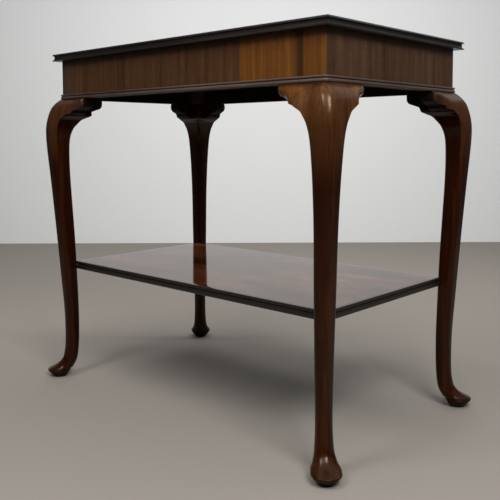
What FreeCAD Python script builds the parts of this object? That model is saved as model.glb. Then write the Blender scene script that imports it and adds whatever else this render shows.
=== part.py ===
import FreeCAD, Part
import math
import os
import Sketcher

# Two-tier walnut side table on four cabriole legs with pad feet.
# Frame: origin on the floor under the middle of the table, +X along the long side,
# +Y towards the back, +Z up. "Right" is +X and "front" is -Y. Millimetres.
#
# How it is put together: the leg tops run up as square posts and are the corners of the
# frieze. Each frieze rail is tenoned into two posts and faced with walnut veneer. A reeded
# bead runs round the foot of the frieze. The top is a veneered board inside four mitred edge
# mouldings, held by screwed blocks. An ear on each inner side of each knee carries the curve
# of the knee out along the rail. The shelf sits in flats cut in the legs and is dowelled.

SIZES = (
    ("table_height", 710, "floor to the top surface"),
    ("top_length", 742, "over the edge mouldings"),
    ("top_width", 434, "over the edge mouldings"),
    ("top_thickness", 15, "board and veneer, and the full height of the edge moulding"),
    ("top_overhang", 14.5, "edge moulding beyond the face of the frieze"),
    ("top_edge_width", 20, "mitred edge moulding, from the outside to the board"),
    ("veneer_thickness", 1, "sawn walnut veneer"),
    ("edge_nose_radius", 4, "quarter-round nose at the top of the edge"),
    ("edge_recess", 3.2, "depth of the hollow under the nose, and its cove radius"),
    ("edge_lip_height", 2.2, "flat lip at the bottom of the edge"),
    ("frieze_height", 82.2, "underside of the top to the knees"),
    ("rail_thickness", 19, "frieze rail without its veneer"),
    ("short_leaf_width", 135.5, "shorter leaf of veneer on a long side, next to the right post"),
    ("tenon_thickness", 9, "rail tenon"),
    ("tenon_length", 25, "rail tenon beyond its shoulder"),
    ("tenon_shoulder", 12, "rail above and below its tenon"),
    ("bead_height", 10.2, "reeded bead at the foot of the frieze"),
    ("bead_projection", 4.5, "bead beyond the face of the frieze"),
    ("bead_low_reed", 5.8, "height of its lower reed"),
    ("bead_low_radius", 2.2, "rounding of its lower reed"),
    ("bead_high_radius", 1.4, "rounding of its upper reed"),
    ("bead_groove_width", 1.0, "quirk between the reeds of the bead"),
    ("bead_groove_depth", 2.6, "quirk between the reeds of the bead"),
    ("post_width", 44, "square post at the top of a leg"),
    ("post_corner_radius", 2.5, "outer arris of the post"),
    ("foot_reach", 13.6, "centre of the pad foot beyond the frieze face, each way"),
    ("foot_base_reach", 12, "centre of the base disc beyond the frieze face, each way"),
    ("foot_base_radius", 13, "what touches the floor"),
    ("foot_pad_radius", 24.8, "widest ring of the pad foot"),
    ("foot_pad_rise", 13.5, "floor to the widest ring"),
    ("foot_arris", 3.4, "height of the upright arris round the pad"),
    ("foot_arris_step", 0.6, "arris standing proud of the foot above it"),
    ("ear_length", 45, "ear beyond the side of the post"),
    ("ear_thickness", 20, "ear behind the face of the frieze"),
    ("ear_nose_drop", 9, "upright end of the ear"),
    ("ear_nose_radius", 11, "rounding under that end"),
    ("ear_lobe_length", 27.5, "underside of the lobe, from its end to the notch"),
    ("ear_lobe_height", 25.8, "the notch below the rail"),
    ("ear_notch_width", 3, "notch under the lobe, along the ear"),
    ("ear_notch_height", 5.8, "notch under the lobe, upright"),
    ("ear_root_height", 35.5, "where the ear meets the post, below the rail"),
    ("ear_end_bulge", 6.5, "face of the ear beyond the frieze face, at its free end"),
    ("shelf_top_height", 257, "floor to the top of the shelf"),
    ("shelf_thickness", 16.4, "board and veneer, and the full height of its edge"),
    ("shelf_end_inset", 10.1, "end of the shelf inside the face of the frieze"),
    ("shelf_side_inset", 16.2, "long side of the shelf inside the face of the frieze"),
    ("shelf_edge_width", 10, "edge moulding of the shelf"),
    ("shelf_low_reed", 9.4, "height of the lower reed of that edge"),
    ("shelf_low_radius", 2.0, "rounding of its lower reed"),
    ("shelf_high_radius", 2.4, "rounding of its upper reed"),
    ("shelf_groove_width", 1.3, "quirk between its reeds"),
    ("shelf_groove_depth", 3.2, "quirk between its reeds"),
    ("shelf_flat_depth", 21, "flat in each leg, from the frieze corner along the diagonal"),
    ("dowel_radius", 4, "beech dowel at each shelf corner"),
    ("dowel_in_leg", 14, "dowel inside the leg"),
    ("dowel_in_shelf", 26, "dowel inside the shelf"),
    ("hole_clearance", 0.15, "hole around a dowel or screw, on the radius"),
    ("block_side", 20, "glue block, square section"),
    ("block_length", 70, "glue block"),
    ("block_inset", 107.5, "middle of the outer blocks of a long rail, from the post"),
    ("screw_radius", 2, "shank of the wood screws"),
    ("screw_head_radius", 4, "countersunk head"),
    ("screw_head_height", 3, "countersunk head"),
    ("screw_point_height", 5, "tapered point"),
    ("screw_length", 30, "over all"),
    ("ear_screw_place", 15, "from the side of the post"),
    ("ear_screw_depth", 10, "behind the face of the frieze"),
    ("ear_screw_grip", 15, "wood of the ear between the screw's head and the rail"),
    ("cut_overrun", 5, "how far a cutting tool runs past what it cuts"),
)

# Rows of the leg. Height is a share of the shank, from the pad foot to the roots of the ears,
# or of the knee above them. Outward and inward reach, from the corner of the frieze, are
# shares of the post's width. The roundings are shares of half the section's side: the outer
# arris, the two at the sides and the one towards the middle of the table.
SHANK_SHARES = (
    (0.0055, 0.750, 0.323, 0.95, 0.95, 0.95),
    (0.0162, 0.541, 0.359, 0.93, 0.95, 0.93),
    (0.0270, 0.402, 0.402, 0.93, 0.95, 0.93),
    (0.0412, 0.284, 0.434, 0.93, 0.95, 0.93),
    (0.0591, 0.224, 0.459, 0.93, 0.96, 0.93),
    (0.0948, 0.159, 0.475, 0.84, 0.96, 0.84),
    (0.1483, 0.136, 0.486, 0.76, 0.95, 0.76),
    (0.2375, 0.143, 0.480, 0.64, 0.82, 0.64),
    (0.3624, 0.216, 0.432, 0.46, 0.70, 0.46),
    (0.5052, 0.316, 0.384, 0.40, 0.65, 0.40),
    (0.6479, 0.430, 0.318, 0.42, 0.66, 0.42),
    (0.7728, 0.543, 0.272, 0.48, 0.56, 0.50),
    (0.8621, 0.636, 0.268, 0.54, 0.47, 0.50),
    (0.9156, 0.676, 0.302, 0.54, 0.36, 0.44),
    (0.9513, 0.680, 0.412, 0.52, 0.24, 0.30),
    (0.9727, 0.658, 0.566, 0.48, 0.13, 0.16),
    (0.9839, 0.636, 0.673, 0.47, 0.09, 0.10),
    (0.9936, 0.616, 0.880, 0.46, 0.05, 0.05),
    (1.0000, 0.600, 1.000, 0.46, 0.02, 0.02),
)
KNEE_SHARES = (
    (0.0, 0.600, 1.000, 0.46, 0.02, 0.02),
    (0.25, 0.555, 1.000, 0.48, 0.02, 0.02),
    (0.49, 0.485, 1.000, 0.50, 0.02, 0.02),
    (0.70, 0.375, 1.000, 0.52, 0.02, 0.02),
    (0.87, 0.245, 1.000, 0.46, 0.02, 0.02),
)
PAD_ROUNDING_SHARE = 0.98

# Sections of an ear, from the post to its free end: how far along the ear, how deep its
# cushioned face runs as a share of the root's height, how much of the knee's fullness is left
# at the foot of that face, and the radius of the face as a share of its chord
EAR_SHARES = (
    (0.0, 1.0, 1.0, 1.11),
    (0.16, 0.95, 0.90, 1.0),
    (0.32, 0.84, 0.63, 0.75),
    (0.46, 0.73, 0.39, 0.61),
    (0.62, 0.64, 0.15, 0.55),
    (0.80, 0.56, 0.03, 0.54),
    (0.93, 0.46, 0.0, 0.57),
    (1.0, 0.27, 0.0, 0.9),
)
# The rounding under the ear's end, as shares of its radius, and the radius of the hollow
# between the notch and the leg, as a share of the ear's length
EAR_NOSE_RUN_SHARE = 0.66
EAR_NOSE_FALL_SHARE = 0.94
EAR_HOLLOW_SHARE = 1.3
KNEE_FULLNESS_SHARE = 0.600
SCREW_TIP_SHARE = 0.25

doc = FreeCAD.newDocument("SideTable")
sheet = doc.addObject("Spreadsheet::Sheet", "Sizes")
for row, (alias, value, note) in enumerate(SIZES, start=1):
    sheet.set(f"A{row}", note)
    sheet.set(f"B{row}", str(value))
    sheet.setAlias(f"B{row}", alias)
doc.recompute()

pieces = []


class Size:
    """A length worked out from the sheet: its value now and the expression that binds it."""

    def __init__(self, value, text):
        self.value = value
        self.text = text

    def __add__(self, other):
        other = as_size(other)
        return Size(self.value + other.value, f"({self.text} + {other.text})")

    def __sub__(self, other):
        other = as_size(other)
        return Size(self.value - other.value, f"({self.text} - {other.text})")

    def __mul__(self, share):
        return Size(self.value * share, f"({self.text} * {share})")

    def __truediv__(self, divisor):
        return Size(self.value / divisor, f"({self.text} / {divisor})")

    def __neg__(self):
        return self * -1


def as_size(length):
    return length if isinstance(length, Size) else Size(float(length), f"({length})")


def size(alias):
    return Size(float(sheet.get(alias)), f"Sizes.{alias}")


def span(a, b):
    """The longest side of a right triangle with two given sides."""
    return Size(math.hypot(a.value, b.value), f"sqrt({a.text} ^ 2 + {b.text} ^ 2)")


def bind(item, path, length):
    item.setExpression(path, as_size(length).text)


def place(item, x, y, z, turn=0):
    """Put an object at a bound place, turned about +Z by whole degrees."""
    item.Placement = FreeCAD.Placement(FreeCAD.Vector(), FreeCAD.Rotation(turn, 0, 0))
    for axis, length in zip("xyz", (x, y, z)):
        bind(item, f"Placement.Base.{axis}", length)


def make(kind, name, **bound):
    """Add an object and bind its length properties."""
    item = doc.addObject(kind, name)
    for path, length in bound.items():
        bind(item, path, length)
    return item


def box(name, corner, lengths):
    item = make("Part::Box", name, Length=lengths[0], Width=lengths[1], Height=lengths[2])
    place(item, *corner)
    return item


def cut(name, base, tools):
    """Cut one or more tools out of a base."""
    item = doc.addObject("Part::Cut", name)
    item.Base = base
    item.Tool = tools[0] if len(tools) == 1 else fuse(name + "_tools", tools)
    return item


def fuse(name, shapes):
    item = doc.addObject("Part::MultiFuse", name)
    item.Shapes = shapes
    return item


def common(name, shapes):
    item = doc.addObject("Part::MultiCommon", name)
    item.Shapes = shapes
    return item


def keep(item, name):
    """Name a finished sub-part; its label names its file."""
    item.Label = name
    pieces.append(item)
    return item


def mirrored(source, name, normal):
    item = doc.addObject("Part::Mirroring", name)
    item.Source = source
    item.Normal = FreeCAD.Vector(*normal)
    return keep(item, name)


ACROSS_LENGTH = (1, 0, 0)
ACROSS_WIDTH = (0, 1, 0)
OTHER_SIDE = {"right": "left", "left": "right", "front": "back", "back": "front"}


def swap(name, words):
    """The name of the piece on the other side of the table."""
    return "_".join(OTHER_SIDE[word] if word in words else word for word in name.split("_"))


def keep_four(item, name):
    """A piece of one corner and its mirror images at the other three."""
    keep(item, name)
    beside = mirrored(item, swap(name, ("left", "right")), ACROSS_LENGTH)
    mirrored(item, swap(name, ("front", "back")), ACROSS_WIDTH)
    mirrored(beside, swap(beside.Label, ("front", "back")), ACROSS_WIDTH)


def keep_pair(item, name, words, normal):
    keep(item, name)
    mirrored(item, swap(name, words), normal)


def arc_centre(start, end, radius, leftwards):
    """Centre of the shorter arc of a radius from start to end."""
    dx, dy = end[0] - start[0], end[1] - start[1]
    chord = math.hypot(dx, dy)
    rise = math.sqrt(max(radius ** 2 - chord ** 2 / 4, 0.0))
    side = 1 if leftwards else -1
    return (start[0] + dx / 2 - side * rise * dy / chord,
            start[1] + dy / 2 + side * rise * dx / chord)


def draw(sketch, start, steps):
    """Draw a closed outline in a sketch and bind every corner and radius.

    A step is (point,) for a line, or (point, radius, leftwards) for an arc whose centre lies
    to the left or right of the way it is drawn.
    """
    corners = [start] + [step[0] for step in steps[:-1]]
    ends = []
    for index, step in enumerate(steps):
        a = corners[index]
        b = corners[(index + 1) % len(steps)]
        start_xy = (as_size(a[0]).value, as_size(a[1]).value)
        end_xy = (as_size(b[0]).value, as_size(b[1]).value)
        if len(step) == 1:
            line = Part.LineSegment(FreeCAD.Vector(*start_xy), FreeCAD.Vector(*end_xy))
            ends.append((sketch.addGeometry(line), 1, 2))
            continue
        radius, leftwards = step[1], step[2]
        centre = arc_centre(start_xy, end_xy, radius.value, leftwards)
        first, last = (start_xy, end_xy) if leftwards else (end_xy, start_xy)
        circle = Part.Circle(FreeCAD.Vector(*centre), FreeCAD.Vector(0, 0, 1), radius.value)
        begin = math.atan2(first[1] - centre[1], first[0] - centre[0])
        finish = math.atan2(last[1] - centre[1], last[0] - centre[0])
        if finish < begin:
            finish += 2 * math.pi
        geo = sketch.addGeometry(Part.ArcOfCircle(circle, begin, finish))
        ends.append((geo, 1, 2) if leftwards else (geo, 2, 1))
        constrain(sketch, Sketcher.Constraint("Radius", geo, radius.value), radius)
    for index, (geo, first_point, last_point) in enumerate(ends):
        x, y = (as_size(length) for length in corners[index])
        constrain(sketch, Sketcher.Constraint("DistanceX", geo, first_point, x.value), x)
        constrain(sketch, Sketcher.Constraint("DistanceY", geo, first_point, y.value), y)
        after = ends[(index + 1) % len(ends)]
        sketch.addConstraint(Sketcher.Constraint("Coincident", geo, last_point, after[0], after[1]))


def constrain(sketch, constraint, length):
    index = sketch.addConstraint(constraint)
    sketch.setExpression(f"Constraints[{index}]", length.text)


def free_sketch(name, x, y, z, rotation=FreeCAD.Rotation()):
    """A sketch on a plane of its own."""
    sketch = doc.addObject("Sketcher::SketchObject", name)
    sketch.Placement = FreeCAD.Placement(FreeCAD.Vector(), rotation)
    for axis, length in zip("xyz", (x, y, z)):
        bind(sketch, f"Placement.Base.{axis}", length)
    return sketch


def body_sketch(body, name, plane, offset):
    """A sketch on one of a body's own origin planes, moved along the plane's normal."""
    sketch = body.newObject("Sketcher::SketchObject", name)
    origin_plane = [item for item in body.Origin.OriginFeatures if item.Role == plane][0]
    sketch.AttachmentSupport = (origin_plane, [""])
    sketch.MapMode = "FlatFace"
    bind(sketch, "AttachmentOffset.Base.z", offset)
    return sketch


def pad(body, sketch, length):
    item = body.newObject("PartDesign::Pad", sketch.Name + "_pad")
    item.Profile = sketch
    bind(item, "Length", length)
    sketch.Visibility = False
    body.Tip = item
    return item


def extruded(name, sketch, length):
    """A solid from a sketch, along the sketch's own normal."""
    item = make("Part::Extrusion", name, LengthFwd=length)
    item.Base = sketch
    item.DirMode = "Normal"
    item.Solid = True
    return item


def rectangle(low_x, low_y, high_x, high_y):
    start = (low_x, low_y)
    return start, [((high_x, low_y),), ((high_x, high_y),), ((low_x, high_y),), (start,)]


def panel(name, low, high, height, thickness):
    """A flat board as a body: a rectangle between two corners, padded upwards."""
    body = doc.addObject("PartDesign::Body", name)
    sketch = body_sketch(body, name + "_outline", "XY_Plane", 0)
    draw(sketch, *rectangle(low[0], low[1], high[0], high[1]))
    pad(body, sketch, thickness)
    place(body, 0, 0, height)
    return body


# Levels and faces that more than one piece follows
top_underside = size("table_height") - size("top_thickness")
knee_top = top_underside - size("frieze_height")
face_x = size("top_length") / 2 - size("top_overhang")
face_y = size("top_width") / 2 - size("top_overhang")
post = size("post_width")
rail_back = size("veneer_thickness") + size("rail_thickness")
shelf_underside = size("shelf_top_height") - size("shelf_thickness")


# Mouldings, made in a frame of their own: X along the side, Y outwards, Z up from the underside.
# Sketches stand across X, or across Y for what is drawn from the side.
ALONG_X = FreeCAD.Rotation(FreeCAD.Vector(0, 1, 0), FreeCAD.Vector(0, 0, 1), FreeCAD.Vector(1, 0, 0))
ACROSS_Y = FreeCAD.Rotation(FreeCAD.Vector(1, 0, 0), FreeCAD.Vector(0, 0, 1), FreeCAD.Vector(0, -1, 0))


def edge_profile():
    """Top edge: a lip, a cove, an upright hollow and a quarter-round nose that overhangs it."""
    recess, nose, height = size("edge_recess"), size("edge_nose_radius"), size("top_thickness")
    lip, outer = size("edge_lip_height"), size("top_edge_width")
    waist = outer - recess
    steps = [
        ((outer, 0),),
        ((outer, lip),),
        ((waist, lip + recess), recess, False),
        ((waist, height - nose),),
        ((outer, height - nose),),
        ((outer - nose, height), nose, True),
        ((0, height),),
        ((0, 0),),
    ]
    return (0, 0), steps


def reeded_profile(inner, outer, height, low_reed, low_radius, high_radius, groove):
    """Two reeds, one over the other, with a quirk between them."""
    width, depth = groove
    floor = outer - depth
    high_foot = low_reed + width
    steps = [
        ((outer - low_radius, 0),),
        ((outer, low_radius), low_radius, True),
        ((outer, low_reed - low_radius),),
        ((outer - low_radius, low_reed), low_radius, True),
        ((floor, low_reed),),
        ((floor, high_foot),),
        ((outer - high_radius, high_foot),),
        ((outer, high_foot + high_radius), high_radius, True),
        ((outer, height - high_radius),),
        ((outer - high_radius, height), high_radius, True),
        ((inner, height),),
        ((inner, 0),),
    ]
    return (inner, 0), steps


def rounded_moulding(name, half_straight, profile):
    """One side of a moulding that turns each corner as far as the mitre."""
    body = doc.addObject("PartDesign::Body", name)
    straight = body_sketch(body, name + "_profile", "YZ_Plane", -half_straight)
    draw(straight, *profile)
    pad(body, straight, half_straight * 2)
    for end, offset, backwards in (("right", half_straight, True), ("left", -half_straight, False)):
        corner = body_sketch(body, f"{name}_{end}_profile", "YZ_Plane", offset)
        draw(corner, *profile)
        turn = body.newObject("PartDesign::Revolution", f"{name}_{end}_corner")
        turn.Profile = corner
        turn.ReferenceAxis = (corner, ["V_Axis"])
        turn.Angle = 45
        turn.Reversed = backwards
        corner.Visibility = False
        body.Tip = turn
    return body


def mitred_moulding(name, half_side, width, height, profile, clip=None):
    """A straight moulding with mitred ends; a clip takes the tips of the mitres off."""
    strip = free_sketch(name + "_profile", -half_side, 0, 0, ALONG_X)
    draw(strip, *profile)
    tips = [(half_side, width)]
    if clip:
        tips = [(half_side - clip / 2, width - clip / 2), (half_side - clip, width)]
    inner_end = half_side - width
    plan = free_sketch(name + "_plan", 0, 0, 0)
    steps = [((inner_end, 0),)] + [(tip,) for tip in tips]
    steps += [((-x, y),) for x, y in reversed(tips)]
    draw(plan, (-inner_end, 0), steps + [((-inner_end, 0),)])
    return common(name + "_strip", [extruded(name + "_length", strip, half_side * 2),
                                    extruded(name + "_plan_prism", plan, height)])


# The top: a board, two book-matched leaves of veneer and four edge mouldings

def make_top(pilot_holes):
    width, height = size("top_edge_width"), size("top_thickness")
    outer_x, outer_y = size("top_length") / 2, size("top_width") / 2
    half_x, half_y = outer_x - width, outer_y - width
    core = height - size("veneer_thickness")
    board = panel("top_core", (-half_x, -half_y), (half_x, half_y), top_underside, core)
    keep(cut("top_board", board, pilot_holes), "top_board")
    leaf = panel("top_veneer_right", (0, -half_y), (half_x, half_y), top_underside + core,
                 size("veneer_thickness"))
    keep_pair(leaf, "top_veneer_right", ("right", "left"), ACROSS_LENGTH)
    front = mitred_moulding("top_edge_front", outer_x, width, height, edge_profile())
    place(front, 0, -half_y, top_underside, 180)
    keep_pair(front, "top_edge_front", ("front", "back"), ACROSS_WIDTH)
    right = mitred_moulding("top_edge_right", outer_y, width, height, edge_profile())
    place(right, half_x, 0, top_underside, -90)
    keep_pair(right, "top_edge_right", ("right", "left"), ACROSS_LENGTH)


# The frieze: tenoned rails, their veneer, and the reeded bead at its foot

def make_rail(name, half_shoulder):
    """A rail in its own frame: X along it, Y outwards from its outer face, Z up."""
    thickness, height = size("rail_thickness"), size("frieze_height")
    rail = box(name + "_board", (-half_shoulder, -thickness, 0),
               (half_shoulder * 2, thickness, height))
    half_tenon = half_shoulder + size("tenon_length")
    tenons = box(name + "_tenons",
                 (-half_tenon, -(thickness + size("tenon_thickness")) / 2, size("tenon_shoulder")),
                 (half_tenon * 2, size("tenon_thickness"), height - size("tenon_shoulder") * 2))
    along = half_shoulder - size("ear_screw_place")
    back = size("veneer_thickness") - size("ear_screw_depth")
    holes = [screw_shaft_hole(f"{name}_hole_{index}", x, back, -size("ear_screw_grip"))
             for index, x in enumerate((along, -along))]
    return cut(name, fuse(name + "_with_tenons", [rail, tenons]), holes)


def make_frieze():
    veneer = size("veneer_thickness")
    long_half, short_half = face_x - post, face_y - post
    front = make_rail("rail_front", long_half)
    place(front, 0, -(face_y - veneer), knee_top, 180)
    keep_pair(front, "rail_front", ("front", "back"), ACROSS_WIDTH)
    right = make_rail("rail_right", short_half)
    place(right, face_x - veneer, 0, knee_top, -90)
    keep_pair(right, "rail_right", ("right", "left"), ACROSS_LENGTH)

    joint, height = long_half - size("short_leaf_width"), size("frieze_height")
    leaves = (("frieze_veneer_front_left", -long_half, joint),
              ("frieze_veneer_front_right", joint, long_half))
    for name, low, high in leaves:
        leaf = panel(name, (low, -face_y), (high, -face_y + veneer), knee_top, height)
        keep_pair(leaf, name, ("front", "back"), ACROSS_WIDTH)
    end = panel("frieze_veneer_right", (face_x - veneer, -short_half), (face_x, short_half),
                knee_top, height)
    keep_pair(end, "frieze_veneer_right", ("right", "left"), ACROSS_LENGTH)


def make_bead():
    """Four mitred lengths that turn round the posts' rounded corners."""
    inner = size("post_corner_radius")
    outer = inner + size("bead_projection")
    groove = (size("bead_groove_width"), size("bead_groove_depth"))
    profile = reeded_profile(inner, outer, size("bead_height"), size("bead_low_reed"),
                             size("bead_low_radius"), size("bead_high_radius"), groove)
    centre_x, centre_y = face_x - inner, face_y - inner
    front = rounded_moulding("bead_front", centre_x, profile)
    place(front, 0, -centre_y, knee_top, 180)
    keep_pair(front, "bead_front", ("front", "back"), ACROSS_WIDTH)
    right = rounded_moulding("bead_right", centre_y, profile)
    place(right, centre_x, 0, knee_top, -90)
    keep_pair(right, "bead_right", ("right", "left"), ACROSS_LENGTH)


# The legs: pad foot, cabriole shank, knee and post in one piece

def leg_section(name, height, outward, inward, rounds):
    """A rounded square across the leg; +X and +Y point outwards from the frieze corner."""
    outer, side, inner = rounds
    low = -inward
    sketch = free_sketch(name, face_x, face_y, height)
    steps = [
        ((outward - outer, outward), outer, True),
        ((low + side, outward),),
        ((low, outward - side), side, True),
        ((low, low + inner),),
        ((low + inner, low), inner, True),
        ((outward - side, low),),
        ((outward, low + side), side, True),
        ((outward, outward - outer),),
    ]
    draw(sketch, (outward, outward - outer), steps)
    return sketch


def shared_section(name, row, base, top):
    height_share, out_share, in_share, *round_shares = row
    outward, inward = post * out_share, post * in_share
    half_side = (outward + inward) / 2
    return leg_section(name, base + (top - base) * height_share, outward, inward,
                       [half_side * share for share in round_shares])


def loft(name, sections):
    item = doc.addObject("Part::Loft", name)
    item.Sections = sections
    item.Solid = True
    return item


def foot_circle(name, reach, height, radius):
    """A circle round the foot; the foot's reach is the same along and across the table."""
    sketch = free_sketch(name, face_x + reach, face_y + reach, height)
    circle = Part.Circle(FreeCAD.Vector(), FreeCAD.Vector(0, 0, 1), radius.value)
    geo = sketch.addGeometry(circle)
    sketch.addConstraint(Sketcher.Constraint("Coincident", geo, 3, -1, 1))
    constrain(sketch, Sketcher.Constraint("Radius", geo, radius.value), radius)
    return sketch


def make_foot():
    """The pad: its underside flares from the base disc to an upright rim."""
    rise, radius, reach = size("foot_pad_rise"), size("foot_pad_radius"), size("foot_reach")
    base = foot_circle("foot_base", size("foot_base_reach"), as_size(0), size("foot_base_radius"))
    flare = loft("foot_flare", [base, foot_circle("foot_rim_foot", reach, rise, radius)])
    flare.Ruled = True
    rim = make("Part::Cylinder", "foot_rim", Radius=radius, Height=size("foot_arris"))
    place(rim, face_x + reach, face_y + reach, rise)
    return [flare, rim]


def mortise(name, along_x):
    """The slot for a rail's tenon, open at the inner side of the post."""
    middle = size("veneer_thickness") + size("rail_thickness") / 2
    low_side = middle + size("tenon_thickness") / 2
    length, width = size("tenon_length"), size("tenon_thickness")
    height = size("frieze_height") - size("tenon_shoulder") * 2
    start_z = knee_top + size("tenon_shoulder")
    if along_x:
        return box(name, (face_x - post, face_y - low_side, start_z), (length, width, height))
    return box(name, (face_x - low_side, face_y - post, start_z), (width, length, height))


def diagonal_tool(name, depth):
    """A block square to the leg's diagonal that cuts away what lies inside a depth."""
    side = post * 2
    tool = make("Part::Box", name, Length=side, Width=side, Height=size("shelf_thickness"))
    tool.Placement = FreeCAD.Placement(FreeCAD.Vector(), FreeCAD.Rotation(45, 0, 0))
    # The block's outer face stands across the diagonal, and the block reaches inwards
    back = (depth + side) / math.sqrt(2)
    half = side / (2 * math.sqrt(2))
    bind(tool, "Placement.Base.x", face_x - back + half)
    bind(tool, "Placement.Base.y", face_y - back - half)
    bind(tool, "Placement.Base.z", shelf_underside)
    return tool


def dowel_shape(name, radius, overrun):
    """A dowel, or its hole, along the diagonal of a leg at the middle of the shelf."""
    item = make("Part::Cylinder", name, Radius=radius,
                Height=size("dowel_in_leg") + size("dowel_in_shelf") + overrun * 2)
    item.Placement = FreeCAD.Placement(FreeCAD.Vector(),
                                       FreeCAD.Rotation(FreeCAD.Vector(0, 0, 1),
                                                        FreeCAD.Vector(1, 1, 0)))
    depth = (size("shelf_flat_depth") + size("dowel_in_shelf") + overrun) / math.sqrt(2)
    bind(item, "Placement.Base.x", face_x - depth)
    bind(item, "Placement.Base.y", face_y - depth)
    bind(item, "Placement.Base.z", shelf_underside + size("shelf_thickness") / 2)
    return item


def dowel_hole(name):
    return dowel_shape(name, size("dowel_radius") + size("hole_clearance"), size("hole_clearance"))


def make_post():
    """The square top of the leg, with a rounded outer arris."""
    radius = size("post_corner_radius")
    sketch = free_sketch("post_outline", face_x, face_y, knee_top)
    low = -post
    steps = [((-radius, 0), radius, True), ((low, 0),), ((low, low),), ((0, low),), ((0, -radius),)]
    draw(sketch, (0, -radius), steps)
    return extruded("post_block", sketch, size("frieze_height"))


def make_legs():
    pad_top = size("foot_pad_rise") + size("foot_arris")
    pad_radius = size("foot_pad_radius") - size("foot_arris_step")
    reach = size("foot_reach")
    first = leg_section("shank_0", pad_top, reach + pad_radius, pad_radius - reach,
                        [pad_radius * PAD_ROUNDING_SHARE] * 3)
    shank = [first]
    shank_top = knee_top - size("ear_root_height")
    shank += [shared_section(f"shank_{index}", row, pad_top, shank_top)
              for index, row in enumerate(SHANK_SHARES, 1)]
    knee = [shared_section(f"knee_{index}", row, shank_top, knee_top)
            for index, row in enumerate(KNEE_SHARES)]
    projection = size("bead_projection")
    crown_radius = size("post_corner_radius") + projection
    square_round = (post + projection) / 2 * KNEE_SHARES[-1][-1]
    knee.append(leg_section("knee_top", knee_top, projection, post,
                            [crown_radius, square_round, square_round]))
    whole = fuse("leg_blank", make_foot() + [loft("shank", shank), loft("knee", knee), make_post()])
    leg = cut("leg_back_right", whole, [
        mortise("mortise_long", True),
        mortise("mortise_short", False),
        diagonal_tool("shelf_flat", size("shelf_flat_depth")),
        dowel_hole("leg_dowel_hole"),
    ])
    keep_four(leg, "leg_back_right")


# The ears: shaped like the knee next to the post and fading out along the rail.
# In an ear's own frame X runs along the rail away from the post, Y outwards, Z up from the
# level of the knee top.

def ear_section(name, along_share, depth_share, fullness_share, radius_share):
    """Across the ear: flat at the back and top, cushioned at the face."""
    top_out, end_bulge = size("bead_projection"), size("ear_end_bulge")
    low_out = end_bulge + (post * KNEE_FULLNESS_SHARE - end_bulge) * fullness_share
    depth = size("ear_root_height") * depth_share
    radius = span(low_out - top_out, depth) * radius_share
    back = -size("ear_thickness")
    foot = -(size("ear_root_height") + size("cut_overrun"))
    sketch = free_sketch(name, size("ear_length") * along_share, 0, 0, ALONG_X)
    steps = [
        ((back, 0),),
        ((back, foot),),
        ((low_out, foot),),
        ((low_out, -depth),),
        ((top_out, 0), radius, True),
    ]
    draw(sketch, (top_out, 0), steps)
    return sketch


def ear_outline(name):
    """The ear from the front: a lobe, a notch and a hollow that runs on into the leg."""
    length, radius = size("ear_length"), size("ear_nose_radius")
    drop, lobe = size("ear_nose_drop"), size("ear_lobe_height")
    notch_x = length - size("ear_lobe_length")
    cusp = (notch_x - size("ear_notch_width"), -(lobe + size("ear_notch_height")))
    sketch = free_sketch(name, 0, post * 2, 0, ACROSS_Y)
    steps = [
        ((0, -size("ear_root_height")),),
        (cusp, length * EAR_HOLLOW_SHARE, False),
        ((notch_x, -lobe),),
        ((length - radius * EAR_NOSE_RUN_SHARE, -(drop + radius * EAR_NOSE_FALL_SHARE)),),
        ((length, -drop), radius, True),
        ((length, 0),),
        ((0, 0),),
    ]
    draw(sketch, (0, 0), steps)
    return extruded(name + "_prism", sketch, post * 4)


def make_ear(name):
    sections = [ear_section(f"{name}_section_{index}", *row)
                for index, row in enumerate(EAR_SHARES)]
    carved = common(name + "_carved", [loft(name + "_face", sections), ear_outline(name + "_outline")])
    along, back, grip = size("ear_screw_place"), -size("ear_screw_depth"), size("ear_screw_grip")
    pocket_depth = size("ear_root_height") - grip
    pocket = make("Part::Cylinder", name + "_screw_pocket",
                  Radius=size("screw_head_radius") + size("hole_clearance"), Height=pocket_depth)
    place(pocket, along, back, -size("ear_root_height"))
    return cut(name, carved, [pocket] + screw_holes(name + "_screw", along, back, -grip))


def make_ears():
    front = make_ear("ear_front_right_long")
    place(front, face_x - post, -face_y, knee_top, 180)
    keep_four(front, "ear_front_right_long")
    end = make_ear("ear_back_right_short")
    place(end, face_x, face_y - post, knee_top, -90)
    keep_four(end, "ear_back_right_short")


# The shelf: a veneered board in four mitred edge mouldings, clipped where the legs stand

def shelf_edge(name, half_side, other_half, is_long):
    """One edge moulding of the shelf, clipped by the legs; outwards is +Y for the long side."""
    width, height = size("shelf_edge_width"), size("shelf_thickness")
    groove = (size("shelf_groove_width"), size("shelf_groove_depth"))
    profile = reeded_profile(0, width, height, size("shelf_low_reed"), size("shelf_low_radius"),
                             size("shelf_high_radius"), groove)
    # The legs' flats stand across the diagonals, so they clip the corner equally both ways
    clip = half_side + other_half - (face_x + face_y - size("shelf_flat_depth") * math.sqrt(2))
    moulding = mitred_moulding(name, half_side, width, height, profile, clip)
    if is_long:
        place(moulding, 0, other_half - width, shelf_underside)
    else:
        place(moulding, other_half - width, 0, shelf_underside, -90)
    return moulding


def corner_holes(name, sides):
    """Dowel holes at the corners that a piece of the shelf reaches."""
    first = dowel_hole(name + "_hole")
    holes = [first]
    for index, normal in enumerate(sides):
        for source in list(holes):
            other = doc.addObject("Part::Mirroring", f"{name}_hole_{index}_{len(holes)}")
            other.Source = source
            other.Normal = FreeCAD.Vector(*normal)
            holes.append(other)
    return holes


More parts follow.
